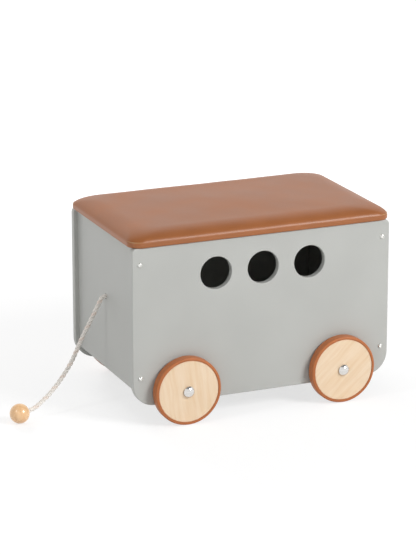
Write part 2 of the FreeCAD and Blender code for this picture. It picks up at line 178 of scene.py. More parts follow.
class ToyBoxCord(bpy.types.PropertyGroup):
    diameter: length_property("Diameter", "Thickness of the twisted cord", 10 * MM)
    lay: length_property("Lay", "Length over which a strand goes round once", 30 * MM)
    length: length_property("Length", "Length from the wall to the end in the ball", 0.320)
    strands: bpy.props.IntProperty(
        name="Strands",
        description="Number of strands twisted together",
        min=2,
        max=6,
        default=3,
    )


class ToyBoxStudio(bpy.types.PropertyGroup):
    floor_size: length_property("Floor Size", "Side of the square floor", 14.0, 60.0)
    front_lamp: power_property("Front Lamp", "Power of the large soft lamp in front", 150.0)
    side_lamp: power_property(
        "Side Lamp", "Power of the lamp on the left that throws the soft shadows", 19.0
    )
    back_lamp: power_property(
        "Back Lamp", "Power of the lamp behind, which keeps the back clear", 70.0
    )
    sky: bpy.props.FloatProperty(
        name="Room Light",
        description="Strength of the even light from all round",
        subtype="FACTOR",
        min=0.0,
        max=2.0,
        default=0.42,
    )


# Surfaces worked out on a grid


def grid_faces(rows, columns):
    """The four-sided faces of a grid of points, counted row by row."""
    first = (np.arange(rows - 1)[:, None] * columns + np.arange(columns - 1)[None, :]).ravel()
    return np.stack([first, first + 1, first + columns + 1, first + columns], 1)


def surface(name, points, uv, finish, sharp_angle=None):
    """A mesh object from a grid of points, rows by columns by 3, with a UV map.

    A grid whose last column repeats its first closes round, and a row of one repeated point is a
    pole: merging the doubles closes both. The normals are worked out again after that.
    """
    faces = grid_faces(*points.shape[:2])
    places, flat = points.reshape(-1, 3), uv.reshape(-1, 2)
    mesh = bpy.data.meshes.new(name)
    mesh.vertices.add(len(places))
    mesh.vertices.foreach_set("co", places.astype(np.float32).ravel())
    mesh.loops.add(faces.size)
    mesh.loops.foreach_set("vertex_index", faces.astype(np.int32).ravel())
    mesh.polygons.add(len(faces))
    mesh.polygons.foreach_set("loop_start", np.arange(0, faces.size, 4, dtype=np.int32))
    mesh.update(calc_edges=True)
    layer = mesh.uv_layers.new(name="Surface")
    layer.data.foreach_set("uv", flat[faces.ravel()].astype(np.float32).ravel())
    mesh.validate()
    piece = bpy.data.objects.new(name, mesh)
    bpy.context.scene.collection.objects.link(piece)
    for other in bpy.context.selected_objects:
        other.select_set(False)
    bpy.context.view_layer.objects.active = piece
    piece.select_set(True)
    bpy.ops.object.mode_set(mode="EDIT")
    bpy.ops.mesh.select_all(action="SELECT")
    bpy.ops.mesh.remove_doubles(threshold=1e-6)
    bpy.ops.mesh.normals_make_consistent(inside=False)
    bpy.ops.object.mode_set(mode="OBJECT")
    mesh.shade_smooth()
    if sharp_angle is not None:
        mesh.set_sharp_from_angle(angle=math.radians(sharp_angle))
    mesh.materials.append(finish)
    return piece


def unit(vectors):
    """Vectors scaled to a length of 1."""
    return vectors / np.linalg.norm(vectors, axis=-1, keepdims=True)


def even_steps(path, count):
    """The path again as that many points the same distance apart, and their distances."""
    steps = np.linalg.norm(np.diff(path, axis=0), axis=1)
    along = np.concatenate([[0.0], np.cumsum(steps)])
    wanted = np.linspace(0.0, along[-1], count)
    return np.stack([np.interp(wanted, along, path[:, k]) for k in range(3)], 1), wanted


def steady_frame(path):
    """Direction and two sides along a path, with sides that don't roll about it.

    The sides are the start's own, tilted the shortest way onto each direction. That tilt rolls
    them by the turn about the start's axis times one less the cosine of the tilt, so the sum of
    those small rolls is taken off again.
    """
    ahead = unit(np.gradient(path, axis=0))
    axis = ahead[0]
    up = np.array([0.0, 0.0, 1.0])
    first = unit(up - axis * (up @ axis))
    second = np.cross(axis, first)
    near, far = ahead @ first, ahead @ second
    lean = np.clip(ahead @ axis, -1.0, 1.0)
    across = np.cross(axis, ahead)

    def tilted(side):
        return (
            side
            + np.cross(across, side)
            + np.cross(across, np.cross(across, side)) / (1 + lean)[:, None]
        )

    side, other = tilted(first[None, :]), tilted(second[None, :])
    turn = np.unwrap(np.arctan2(far, near))
    middle = 1 - (lean[1:] + lean[:-1]) / 2
    roll = np.concatenate([[0.0], np.cumsum(middle * np.diff(turn))])[:, None]
    return (
        ahead,
        side * np.cos(roll) - other * np.sin(roll),
        side * np.sin(roll) + other * np.cos(roll),
    )


def rope_grid(path, diameter, lay, strands, around=60, step=0.0009):
    """A twisted rope along a path, with closed ends.

    Round the rope, a point's distance from the middle is the outline of equal circles, one a
    strand, set on a ring: at an angle a from the nearest strand it is R cos a plus the root of
    r squared less R squared sine squared a. The outline turns once about the path in each lay.
    """
    full = diameter / 2
    share = math.sin(math.pi / strands)
    strand = full * share / (1 + share) * PRESSED_STRAND
    ring = full - strand
    length = np.linalg.norm(np.diff(path, axis=0), axis=1).sum()
    path, along = even_steps(path, max(8, int(length / step)))
    ahead, side, other = steady_frame(path)
    turn = np.linspace(0.0, 2 * math.pi, around + 1)
    sector = 2 * math.pi / strands
    angle = turn[None, :] - 2 * math.pi * along[:, None] / lay
    off = (angle + sector / 2) % sector - sector / 2
    distance = ring * np.cos(off) + np.sqrt(
        np.maximum(strand**2 - (ring * np.sin(off)) ** 2, 0.0)
    )
    body = (
        path[:, None, :]
        + side[:, None, :] * (np.cos(turn)[None, :] * distance)[..., None]
        + other[:, None, :] * (np.sin(turn)[None, :] * distance)[..., None]
    )
    # Each end draws in over half a strand's thickness and closes at a pole.
    close = np.array([0.0, 0.55, 0.85, 1.0])
    out = np.array([0.45, 0.40, 0.22, 0.0]) * strand
    low = path[0] + (body[0] - path[0]) * close[:, None, None] - ahead[0] * out[:, None, None]
    high = path[-1] + (body[-1] - path[-1]) * close[::-1, None, None]
    high = high + ahead[-1] * out[::-1, None, None]
    points = np.concatenate([low, body[1:-1], high])
    far = np.concatenate([along[0] - out, along[1:-1], along[-1] + out[::-1]])
    uv = np.stack(
        [
            np.broadcast_to(turn / (2 * math.pi), (len(far), around + 1)),
            np.broadcast_to((far / lay)[:, None], (len(far), around + 1)),
        ],
        -1,
    )
    return points, uv, path


# Node materials. A Mix node's sockets share names, so its colours go by their places.

MIX_A, MIX_B, MIX_COLOUR = 6, 7, 2


def add_node(tree, kind, values=None, links=None, **settings):
    """Adds a node with its settings, the values of its free inputs and the links to the others."""
    new = tree.nodes.new(kind)
    for name, value in settings.items():
        setattr(new, name, value)
    for name, value in (values or {}).items():
        new.inputs[name].default_value = value
    for name, source in (links or {}).items():
        tree.links.new(source, new.inputs[name])
    return new


def new_finish(name):
    """An empty node material, and its tree."""
    finish = bpy.data.materials.new(name)
    finish.use_nodes = True
    finish.node_tree.nodes.clear()
    return finish, finish.node_tree


def satin_paint(colour):
    """Sprayed satin enamel on sanded board: even, with a fine orange peel and a soft gloss."""
    finish, tree = new_finish("Satin enamel, sprayed")
    place = add_node(tree, "ShaderNodeTexCoord").outputs["Object"]
    # Slow drift of the film over about 160 mm.
    cloud = add_node(
        tree, "ShaderNodeTexNoise", {"Scale": 1 / 0.16, "Detail": 2.0}, {"Vector": place}
    ).outputs["Fac"]
    # Orange peel is about 1 mm apart, drawn at 2 mm so that it shows.
    peel = add_node(
        tree, "ShaderNodeTexNoise", {"Scale": 1 / 0.002, "Detail": 2.0}, {"Vector": place}
    ).outputs["Fac"]
    cloud_share = add_node(
        tree, "ShaderNodeMapRange", {"From Min": 0.3, "From Max": 0.7}, {"Value": cloud}
    ).outputs["Result"]
    base = add_node(
        tree,
        "ShaderNodeMix",
        {MIX_A: with_alpha(shaded(colour, 0.965)), MIX_B: with_alpha(shaded(colour, 1.03))},
        {"Factor": cloud_share},
        data_type="RGBA",
    ).outputs[MIX_COLOUR]
    rough = add_node(
        tree,
        "ShaderNodeMapRange",
        {"From Min": 0.3, "From Max": 0.7, "To Min": 0.40, "To Max": 0.47},
        {"Value": cloud},
    ).outputs["Result"]
    bump = add_node(
        tree, "ShaderNodeBump", {"Strength": 0.10, "Distance": 0.00006}, {"Height": peel}
    ).outputs["Normal"]
    shader = add_node(
        tree,
        "ShaderNodeBsdfPrincipled",
        {"IOR": 1.47, "Specular IOR Level": 0.5},
        {"Base Color": base, "Roughness": rough, "Normal": bump},
    )
    add_node(tree, "ShaderNodeOutputMaterial", links={"Surface": shader.outputs["BSDF"]})
    return finish


def birch_veneer(colour, name, centre, turn):
    """Rotary-cut birch under clear matt lacquer: pale, with long faint streaks and short pores."""
    finish, tree = new_finish(name)
    place = add_node(tree, "ShaderNodeTexCoord").outputs["Object"]
    # The pattern is centred on the wheel and turned about its axle.
    centred = add_node(
        tree,
        "ShaderNodeVectorMath",
        {1: tuple(centre)},
        {0: place},
        operation="SUBTRACT",
    ).outputs[0]
    turned = add_node(
        tree,
        "ShaderNodeMapping",
        {"Rotation": (0.0, math.radians(turn), 0.0)},
        {"Vector": centred},
    ).outputs[0]
    # Slow bending of the grain, about 4 mm over 60 mm.
    sway = add_node(
        tree, "ShaderNodeTexNoise", {"Scale": 1 / 0.06, "Detail": 1.0}, {"Vector": turned}
    ).outputs["Color"]
    bent = add_node(
        tree,
        "ShaderNodeVectorMath",
        {1: (0.010, 0.0, 0.010)},
        {0: sway, 2: turned},
        operation="MULTIPLY_ADD",
    ).outputs[0]
    # Growth bands about 9 mm apart and 15 times as long.
    band_place = add_node(
        tree, "ShaderNodeMapping", {"Scale": (1 / 0.009, 1 / 0.05, 1 / 0.13)}, {"Vector": bent}
    ).outputs[0]
    bands = add_node(
        tree,
        "ShaderNodeTexNoise",
        {"Scale": 1.0, "Detail": 3.0, "Roughness": 0.6},
        {"Vector": band_place},
    ).outputs["Fac"]
    # Fine fibre about 1.2 mm wide and 25 mm long.
    fibre_place = add_node(
        tree,
        "ShaderNodeMapping",
        {"Scale": (1 / 0.0012, 1 / 0.01, 1 / 0.025)},
        {"Vector": bent},
    ).outputs[0]
    fibre = add_node(
        tree,
        "ShaderNodeTexNoise",
        {"Scale": 1.0, "Detail": 2.0},
        {"Vector": fibre_place},
    ).outputs["Fac"]
    bands_share = add_node(
        tree, "ShaderNodeMapRange", {"From Min": 0.34, "From Max": 0.68}, {"Value": bands}
    ).outputs["Result"]
    base = add_node(
        tree,
        "ShaderNodeMix",
        {
            MIX_A: with_alpha(colour),
            MIX_B: with_alpha((colour[0] * 0.93, colour[1] * 0.86, colour[2] * 0.76)),
        },
        {"Factor": bands_share},
        data_type="RGBA",
    ).outputs[MIX_COLOUR]
    fibre_share = add_node(
        tree,
        "ShaderNodeMapRange",
        {"From Min": 0.55, "From Max": 0.80, "To Max": 0.40},
        {"Value": fibre},
    ).outputs["Result"]
    streaked = add_node(
        tree,
        "ShaderNodeMix",
        {MIX_B: with_alpha((colour[0] * 0.85, colour[1] * 0.74, colour[2] * 0.60))},
        {"Factor": fibre_share, MIX_A: base},
        data_type="RGBA",
    ).outputs[MIX_COLOUR]
    bump = add_node(
        tree, "ShaderNodeBump", {"Strength": 0.15, "Distance": 0.00008}, {"Height": fibre}
    ).outputs["Normal"]
    rough = add_node(
        tree,
        "ShaderNodeMapRange",
        {"From Min": 0.3, "From Max": 0.7, "To Min": 0.40, "To Max": 0.48},
        {"Value": bands},
    ).outputs["Result"]
    shader = add_node(
        tree,
        "ShaderNodeBsdfPrincipled",
        {"IOR": 1.5},
        {"Base Color": streaked, "Roughness": rough, "Normal": bump},
    )
    add_node(tree, "ShaderNodeOutputMaterial", links={"Surface": shader.outputs["BSDF"]})
    return finish


def tyre_rubber(colour):
    """Moulded rubber with a dull bloom: even brown, fine mould grain, a broad soft sheen."""
    finish, tree = new_finish("Rubber, moulded")
    place = add_node(tree, "ShaderNodeTexCoord").outputs["Object"]
    cloud = add_node(
        tree, "ShaderNodeTexNoise", {"Scale": 1 / 0.03, "Detail": 3.0}, {"Vector": place}
    ).outputs["Fac"]
    # Mould grain about 0.5 mm, drawn at 1 mm so that it shows.
    grain = add_node(
        tree, "ShaderNodeTexNoise", {"Scale": 1 / 0.001, "Detail": 2.0}, {"Vector": place}
    ).outputs["Fac"]
    cloud_share = add_node(
        tree, "ShaderNodeMapRange", {"From Min": 0.3, "From Max": 0.7}, {"Value": cloud}
    ).outputs["Result"]
    base = add_node(
        tree,
        "ShaderNodeMix",
        {MIX_A: with_alpha(shaded(colour, 0.93)), MIX_B: with_alpha(shaded(colour, 1.07))},
        {"Factor": cloud_share},
        data_type="RGBA",
    ).outputs[MIX_COLOUR]
    bump = add_node(
        tree, "ShaderNodeBump", {"Strength": 0.12, "Distance": 0.0001}, {"Height": grain}
    ).outputs["Normal"]
    rough = add_node(
        tree,
        "ShaderNodeMapRange",
        {"From Min": 0.3, "From Max": 0.7, "To Min": 0.42, "To Max": 0.52},
        {"Value": cloud},
    ).outputs["Result"]
    shader = add_node(
        tree,
        "ShaderNodeBsdfPrincipled",
        {"IOR": 1.52, "Specular IOR Level": 0.3},
        {"Base Color": base, "Roughness": rough, "Normal": bump},
    )
    add_node(tree, "ShaderNodeOutputMaterial", links={"Surface": shader.outputs["BSDF"]})
    return finish


def leatherette(colour):
    """Coated fabric with a pressed grain of small pebbles and a soft waxy gloss."""
    finish, tree = new_finish("Leatherette, embossed")
    place = add_node(tree, "ShaderNodeTexCoord").outputs["Object"]
    cloud = add_node(
        tree, "ShaderNodeTexNoise", {"Scale": 1 / 0.09, "Detail": 3.0}, {"Vector": place}
    ).outputs["Fac"]
    # Pebbles about 1.3 mm across with creases between them.
    wobble = add_node(
        tree, "ShaderNodeTexNoise", {"Scale": 1 / 0.002, "Detail": 2.0}, {"Vector": place}
    ).outputs["Color"]
    moved = add_node(
        tree,
        "ShaderNodeVectorMath",
        {1: (0.0009, 0.0009, 0.0009)},
        {0: wobble, 2: place},
        operation="MULTIPLY_ADD",
    ).outputs[0]
    pebbles = add_node(
        tree,
        "ShaderNodeTexVoronoi",
        {"Scale": 1 / 0.0013},
        {"Vector": moved},
        feature="DISTANCE_TO_EDGE",
    ).outputs["Distance"]
    swell = add_node(
        tree, "ShaderNodeMapRange", {"From Max": 0.35}, {"Value": pebbles}
    ).outputs["Result"]
    cloud_share = add_node(
        tree, "ShaderNodeMapRange", {"From Min": 0.32, "From Max": 0.68}, {"Value": cloud}
    ).outputs["Result"]
    base = add_node(
        tree,
        "ShaderNodeMix",
        {MIX_A: with_alpha(shaded(colour, 0.93)), MIX_B: with_alpha(shaded(colour, 1.08))},
        {"Factor": cloud_share},
        data_type="RGBA",
    ).outputs[MIX_COLOUR]
    # The creases between the pebbles are painted darker: painted shade in the grain's hollows.
    crease_shade_share = add_node(
        tree, "ShaderNodeMapRange", {"From Max": 0.10, "To Min": 0.45}, {"Value": pebbles}
    ).outputs["Result"]
    crease_shaded = add_node(
        tree,
        "ShaderNodeMix",
        {MIX_A: with_alpha(shaded(colour, 0.72))},
        {"Factor": crease_shade_share, MIX_B: base},
        data_type="RGBA",
    ).outputs[MIX_COLOUR]
    bump = add_node(
        tree, "ShaderNodeBump", {"Strength": 0.22, "Distance": 0.00012}, {"Height": swell}
    ).outputs["Normal"]
    rough = add_node(
        tree,
        "ShaderNodeMapRange",
        {"From Min": 0.3, "From Max": 0.7, "To Min": 0.36, "To Max": 0.42},
        {"Value": cloud},
    ).outputs["Result"]
    shader = add_node(
        tree,
        "ShaderNodeBsdfPrincipled",
        {"IOR": 1.5, "Specular IOR Level": 0.5},
        {"Base Color": crease_shaded, "Roughness": rough, "Normal": bump},
    )
    add_node(tree, "ShaderNodeOutputMaterial", links={"Surface": shader.outputs["BSDF"]})
    return finish


def twisted_cotton(colour, strands):
    """Soft cotton yarns: matt, warm white, with fine lines that cross the strands."""
    finish, tree = new_finish("Cotton, twisted")
    surface_place = add_node(tree, "ShaderNodeTexCoord").outputs["UV"]
    parts = add_node(tree, "ShaderNodeSeparateXYZ", links={"Vector": surface_place})
    # Yarns lean against the twist of the strands, about 0.8 mm apart.
    lean = add_node(
        tree,
        "ShaderNodeMath",
        {1: 14.0},
        {0: parts.outputs["Y"]},
        operation="MULTIPLY",
    ).outputs[0]
    round_it = add_node(
        tree,
        "ShaderNodeMath",
        {1: 18.0},
        {0: parts.outputs["X"], 2: lean},
        operation="MULTIPLY_ADD",
    ).outputs[0]
    wave = add_node(
        tree, "ShaderNodeMath", {1: 2 * math.pi}, {0: round_it}, operation="MULTIPLY"
    ).outputs[0]
    yarn = add_node(tree, "ShaderNodeMath", links={0: wave}, operation="SINE").outputs[0]
    place = add_node(tree, "ShaderNodeTexCoord").outputs["Object"]
    fuzz = add_node(
        tree, "ShaderNodeTexNoise", {"Scale": 1 / 0.0009, "Detail": 4.0}, {"Vector": place}
    ).outputs["Fac"]
    # One strand is spun from slightly rosier cotton.
    strand = add_node(
        tree,
        "ShaderNodeMath",
        links={0: parts.outputs["X"], 1: parts.outputs["Y"]},
        operation="SUBTRACT",
    ).outputs[0]
    share = add_node(tree, "ShaderNodeMath", links={0: strand}, operation="FRACT").outputs[0]
    rosy = add_node(
        tree, "ShaderNodeMath", {1: 1 / strands}, {0: share}, operation="LESS_THAN"
    ).outputs[0]
    white = add_node(
        tree,
        "ShaderNodeMix",
        {
            MIX_A: with_alpha(colour),
            MIX_B: with_alpha((colour[0], colour[1] * 0.93, colour[2] * 0.90)),
        },
        {"Factor": rosy},
        data_type="RGBA",
    ).outputs[MIX_COLOUR]
    fuzz_share = add_node(
        tree,
        "ShaderNodeMapRange",
        {"From Min": 0.5, "From Max": 0.8, "To Max": 0.6},
        {"Value": fuzz},
    ).outputs["Result"]
    base = add_node(
        tree,
        "ShaderNodeMix",
        {MIX_B: with_alpha(shaded(colour, 0.82))},
        {"Factor": fuzz_share, MIX_A: white},
        data_type="RGBA",
    ).outputs[MIX_COLOUR]
    height = add_node(
        tree,
        "ShaderNodeMath",
        {1: 0.5},
        {0: yarn, 2: fuzz},
        operation="MULTIPLY_ADD",
    ).outputs[0]
    bump = add_node(
        tree, "ShaderNodeBump", {"Strength": 0.5, "Distance": 0.0003}, {"Height": height}
    ).outputs["Normal"]
    shader = add_node(
        tree,
        "ShaderNodeBsdfPrincipled",
        {"IOR": 1.45, "Roughness": 0.85, "Sheen Weight": 0.25, "Sheen Roughness": 0.5},
        {"Base Color": base, "Normal": bump},
    )
    add_node(tree, "ShaderNodeOutputMaterial", links={"Surface": shader.outputs["BSDF"]})
    return finish


def turned_wood(colour, name, centre, lacquer):
    """Turned hardwood with its rings on end: warm, with close fine lines under clear lacquer."""
    finish, tree = new_finish(name)
    place = add_node(tree, "ShaderNodeTexCoord").outputs["Object"]
    centred = add_node(
        tree,
        "ShaderNodeVectorMath",
        {1: tuple(centre)},
        {0: place},
        operation="SUBTRACT",
    ).outputs[0]
    stretched = add_node(
        tree,
        "ShaderNodeMapping",
        {"Scale": (1 / 0.0016, 1 / 0.0016, 1 / 0.028), "Rotation": (0.22, -0.12, 0.0)},
        {"Vector": centred},
    ).outputs[0]
    lines = add_node(
        tree, "ShaderNodeTexNoise", {"Scale": 1.0, "Detail": 3.0}, {"Vector": stretched}
    ).outputs["Fac"]
    wide = add_node(
        tree,
        "ShaderNodeMapping",
        {"Scale": (1 / 0.008, 1 / 0.008, 1 / 0.06), "Rotation": (0.22, -0.12, 0.0)},
        {"Vector": centred},
    ).outputs[0]
    bands = add_node(
        tree, "ShaderNodeTexNoise", {"Scale": 1.0, "Detail": 2.0}, {"Vector": wide}
    ).outputs["Fac"]
    bands_share = add_node(
        tree, "ShaderNodeMapRange", {"From Min": 0.3, "From Max": 0.7}, {"Value": bands}
    ).outputs["Result"]
    base = add_node(
        tree,
        "ShaderNodeMix",
        {
            MIX_A: with_alpha((colour[0] * 0.90, colour[1] * 0.82, colour[2] * 0.72)),
            MIX_B: with_alpha(shaded(colour, 1.04)),
        },
        {"Factor": bands_share},
        data_type="RGBA",
    ).outputs[MIX_COLOUR]
    lines_share = add_node(
        tree,
        "ShaderNodeMapRange",
        {"From Min": 0.50, "From Max": 0.75, "To Max": 0.45},
        {"Value": lines},
    ).outputs["Result"]
    lined = add_node(
        tree,
        "ShaderNodeMix",
        {MIX_B: with_alpha((colour[0] * 0.80, colour[1] * 0.66, colour[2] * 0.50))},
        {"Factor": lines_share, MIX_A: base},
        data_type="RGBA",
    ).outputs[MIX_COLOUR]
    bump = add_node(
        tree, "ShaderNodeBump", {"Strength": 0.10, "Distance": 0.00008}, {"Height": lines}
    ).outputs["Normal"]
    rough = add_node(
        tree,
        "ShaderNodeMapRange",
        {"From Min": 0.3, "From Max": 0.7, "To Min": 0.36, "To Max": 0.46},
        {"Value": bands},
    ).outputs["Result"]
    shader = add_node(
        tree,
        "ShaderNodeBsdfPrincipled",
        {"IOR": 1.5, "Coat Weight": lacquer, "Coat Roughness": 0.10, "Coat IOR": 1.5},
        {"Base Color": lined, "Roughness": rough, "Normal": bump},
    )
    add_node(tree, "ShaderNodeOutputMaterial", links={"Surface": shader.outputs["BSDF"]})
    return finish


def sawn_wood(hex_colour, name, along):
    """Planed softwood or dowel stock: straight lines along the piece, dry and matt."""
    colour = linear(hex_colour)
    finish, tree = new_finish(name)
    place = add_node(tree, "ShaderNodeTexCoord").outputs["Object"]
    scale = [1 / 0.0022] * 3
    scale["XYZ".index(along)] = 1 / 0.09
    stretched = add_node(
        tree, "ShaderNodeMapping", {"Scale": tuple(scale)}, {"Vector": place}
    ).outputs[0]
    lines = add_node(
        tree, "ShaderNodeTexNoise", {"Scale": 1.0, "Detail": 3.0}, {"Vector": stretched}
    ).outputs["Fac"]
    lines_share = add_node(
        tree, "ShaderNodeMapRange", {"From Min": 0.35, "From Max": 0.68}, {"Value": lines}
    ).outputs["Result"]
    base = add_node(
        tree,
        "ShaderNodeMix",
        {
            MIX_A: with_alpha(shaded(colour, 1.04)),
            MIX_B: with_alpha((colour[0] * 0.84, colour[1] * 0.74, colour[2] * 0.60)),
        },
        {"Factor": lines_share},
        data_type="RGBA",
    ).outputs[MIX_COLOUR]
    bump = add_node(
        tree, "ShaderNodeBump", {"Strength": 0.25, "Distance": 0.0002}, {"Height": lines}
    ).outputs["Normal"]
    rough = add_node(
        tree,
        "ShaderNodeMapRange",
        {"From Min": 0.3, "From Max": 0.7, "To Min": 0.55, "To Max": 0.68},
        {"Value": lines},
    ).outputs["Result"]
    shader = add_node(
        tree,
        "ShaderNodeBsdfPrincipled",
        {"IOR": 1.5},
        {"Base Color": base, "Roughness": rough, "Normal": bump},
    )
    add_node(tree, "ShaderNodeOutputMaterial", links={"Surface": shader.outputs["BSDF"]})
    return finish


def fibreboard():
    """Raw fibreboard: felted light brown, very fine and matt."""
    colour = linear("#b58d62")
    finish, tree = new_finish("Fibreboard, sanded")
    place = add_node(tree, "ShaderNodeTexCoord").outputs["Object"]
    felt = add_node(
        tree, "ShaderNodeTexNoise", {"Scale": 1 / 0.0015, "Detail": 4.0}, {"Vector": place}
    ).outputs["Fac"]
    felt_share = add_node(
        tree, "ShaderNodeMapRange", {"From Min": 0.3, "From Max": 0.7}, {"Value": felt}
    ).outputs["Result"]
    base = add_node(
        tree,
        "ShaderNodeMix",
        {MIX_A: with_alpha(shaded(colour, 0.88)), MIX_B: with_alpha(shaded(colour, 1.08))},
        {"Factor": felt_share},
        data_type="RGBA",
    ).outputs[MIX_COLOUR]
    bump = add_node(
        tree, "ShaderNodeBump", {"Strength": 0.2, "Distance": 0.0001}, {"Height": felt}
    ).outputs["Normal"]
    shader = add_node(
        tree,
        "ShaderNodeBsdfPrincipled",
        {"IOR": 1.5, "Roughness": 0.75},
        {"Base Color": base, "Normal": bump},
    )
    add_node(tree, "ShaderNodeOutputMaterial", links={"Surface": shader.outputs["BSDF"]})
    return finish


def bonded_cloth():
    """Thin bonded cloth under the lid: near black, with pressed dots and loose fibres."""
    finish, tree = new_finish("Bonded cloth, black")
    place = add_node(tree, "ShaderNodeTexCoord").outputs["Object"]
    fibres = add_node(
        tree, "ShaderNodeTexNoise", {"Scale": 1 / 0.0012, "Detail": 5.0}, {"Vector": place}
    ).outputs["Fac"]
    # Bonding dots stand 2 mm apart.
    dots = add_node(
        tree, "ShaderNodeTexVoronoi", {"Scale": 1 / 0.002, "Randomness": 0.0}, {"Vector": place}
    ).outputs["Distance"]
    fibres_share = add_node(
        tree, "ShaderNodeMapRange", {"From Min": 0.35, "From Max": 0.7}, {"Value": fibres}
    ).outputs["Result"]
    base = add_node(
        tree,
        "ShaderNodeMix",
        {MIX_A: with_alpha(linear("#222121")), MIX_B: with_alpha(linear("#3b3938"))},
        {"Factor": fibres_share},
        data_type="RGBA",
    ).outputs[MIX_COLOUR]
    height = add_node(
        tree,
        "ShaderNodeMath",
        {1: 0.6},
        {0: dots, 2: fibres},
        operation="MULTIPLY_ADD",
    ).outputs[0]
    bump = add_node(
        tree, "ShaderNodeBump", {"Strength": 0.5, "Distance": 0.0003}, {"Height": height}
    ).outputs["Normal"]
    shader = add_node(
        tree,
        "ShaderNodeBsdfPrincipled",
        {"IOR": 1.45, "Roughness": 0.9},
        {"Base Color": base, "Normal": bump},
    )
    add_node(tree, "ShaderNodeOutputMaterial", links={"Surface": shader.outputs["BSDF"]})
    return finish


def bare_metal(name, hex_colour, rough_low, rough_high, mark_size):
    """Plated or drawn steel: its tint in the reflection, with small changes in polish."""
    colour = linear(hex_colour)
    finish, tree = new_finish(name)
    place = add_node(tree, "ShaderNodeTexCoord").outputs["Object"]
    marks = add_node(
        tree,
        "ShaderNodeTexNoise",
        {"Scale": 1 / mark_size, "Detail": 3.0},
        {"Vector": place},
    ).outputs["Fac"]
    marks_share = add_node(
        tree, "ShaderNodeMapRange", {"From Min": 0.3, "From Max": 0.7}, {"Value": marks}
    ).outputs["Result"]
    base = add_node(
        tree,
        "ShaderNodeMix",
        {MIX_A: with_alpha(shaded(colour, 0.95)), MIX_B: with_alpha(colour)},
        {"Factor": marks_share},
        data_type="RGBA",
    ).outputs[MIX_COLOUR]
    rough = add_node(
        tree,
        "ShaderNodeMapRange",
        {"From Min": 0.3, "From Max": 0.7, "To Min": rough_low, "To Max": rough_high},
        {"Value": marks},
    ).outputs["Result"]
    shader = add_node(
        tree,
        "ShaderNodeBsdfPrincipled",
        {"Metallic": 1.0},
        {"Base Color": base, "Roughness": rough},
    )
    add_node(tree, "ShaderNodeOutputMaterial", links={"Surface": shader.outputs["BSDF"]})
    return finish


def moulded_plastic(name, hex_colour):
    """Injection-moulded nylon: slightly waxy and milky."""
    colour = linear(hex_colour)
    finish, tree = new_finish(name)
    place = add_node(tree, "ShaderNodeTexCoord").outputs["Object"]
    cloud = add_node(
        tree, "ShaderNodeTexNoise", {"Scale": 1 / 0.004, "Detail": 2.0}, {"Vector": place}
    ).outputs["Fac"]
    cloud_share = add_node(
        tree, "ShaderNodeMapRange", {"From Min": 0.3, "From Max": 0.7}, {"Value": cloud}
    ).outputs["Result"]
    base = add_node(
        tree,
        "ShaderNodeMix",
        {MIX_A: with_alpha(shaded(colour, 0.94)), MIX_B: with_alpha(colour)},
        {"Factor": cloud_share},
        data_type="RGBA",
    ).outputs[MIX_COLOUR]
    rough = add_node(
        tree,
        "ShaderNodeMapRange",
        {"From Min": 0.3, "From Max": 0.7, "To Min": 0.38, "To Max": 0.46},
        {"Value": cloud},
    ).outputs["Result"]
    shader = add_node(
        tree, "ShaderNodeBsdfPrincipled", {"IOR": 1.53}, {"Base Color": base, "Roughness": rough}
    )
    add_node(tree, "ShaderNodeOutputMaterial", links={"Surface": shader.outputs["BSDF"]})
    return finish


def dress(finish, *names):
    """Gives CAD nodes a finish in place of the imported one."""
    for name in names:
        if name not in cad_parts:
            raise RuntimeError(f"the frame has no node named {name}")
        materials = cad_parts[name].data.materials
        materials.clear()
        materials.append(finish)


def wheel_names(part):
    """The four CAD nodes of one part of the wheels."""
    return [f"{face}_{end}_{part}" for face in ("front", "back") for end in ("left", "right")]


def middle(name):
    """The middle of a CAD node's box."""
    low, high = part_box(name)
    return (low + high) / 2


# Operators


class PaintWalls(bpy.types.Operator):
    """Finishes the four walls and the bottom board"""

    bl_idname = "toy_box.paint_walls"
    bl_label = "Paint Walls"

    def execute(self, context):
        paint = satin_paint(tuple(context.scene.toy_box_finishes.paint))
        dress(
            paint,
            "front_panel",
            "back_panel",
            "left_end_panel",
            "right_end_panel",
            "bottom_panel",
        )
        return {"FINISHED"}


class FinishWheels(bpy.types.Operator):
    """Finishes the discs and tyres of the four wheels"""

    bl_idname = "toy_box.finish_wheels"
    bl_label = "Finish Wheels"

    def execute(self, context):
        finishes = context.scene.toy_box_finishes
        # Each disc's grain stands at its own angle, in degrees.
        turns = {"front_left": 8, "front_right": -47, "back_left": 75, "back_right": 21}
        for wheel, turn in turns.items():
            disc = f"{wheel}_disc"
            words = wheel.replace("_", " ")
            veneer = birch_veneer(
                tuple(finishes.birch), f"Birch veneer, {words}", middle(disc), turn
            )
            dress(veneer, disc)
        dress(tyre_rubber(tuple(finishes.rubber)), *wheel_names("tyre"))
        return {"FINISHED"}


class FinishHardware(bpy.types.Operator):
    """Finishes the bolts, nuts, dowels, axles, bushes, washers and hub caps"""

    bl_idname = "toy_box.finish_hardware"
    bl_label = "Finish Hardware"

    def execute(self, context):
        zinc = bare_metal("Steel, zinc plated", "#e2e2de", 0.22, 0.34, 0.003)
        dress(zinc, "front_bolts", "back_bolts", "barrel_nuts", "batten_screws")
        dress(zinc, "cover_staples", *wheel_names("washer"))
        dress(bare_metal("Steel, drawn", "#c9c8c5", 0.28, 0.40, 0.002), "left_axle", "right_axle")
        dress(
            bare_metal("Steel, chrome plated", "#dedcd9", 0.05, 0.10, 0.004),
            *wheel_names("hub_cap"),
        )
        dress(moulded_plastic("Nylon, moulded", "#e6e3da"), *wheel_names("bush"))
        dress(sawn_wood("#d9b184", "Beech dowel", "Y"), "corner_dowels")
        return {"FINISHED"}


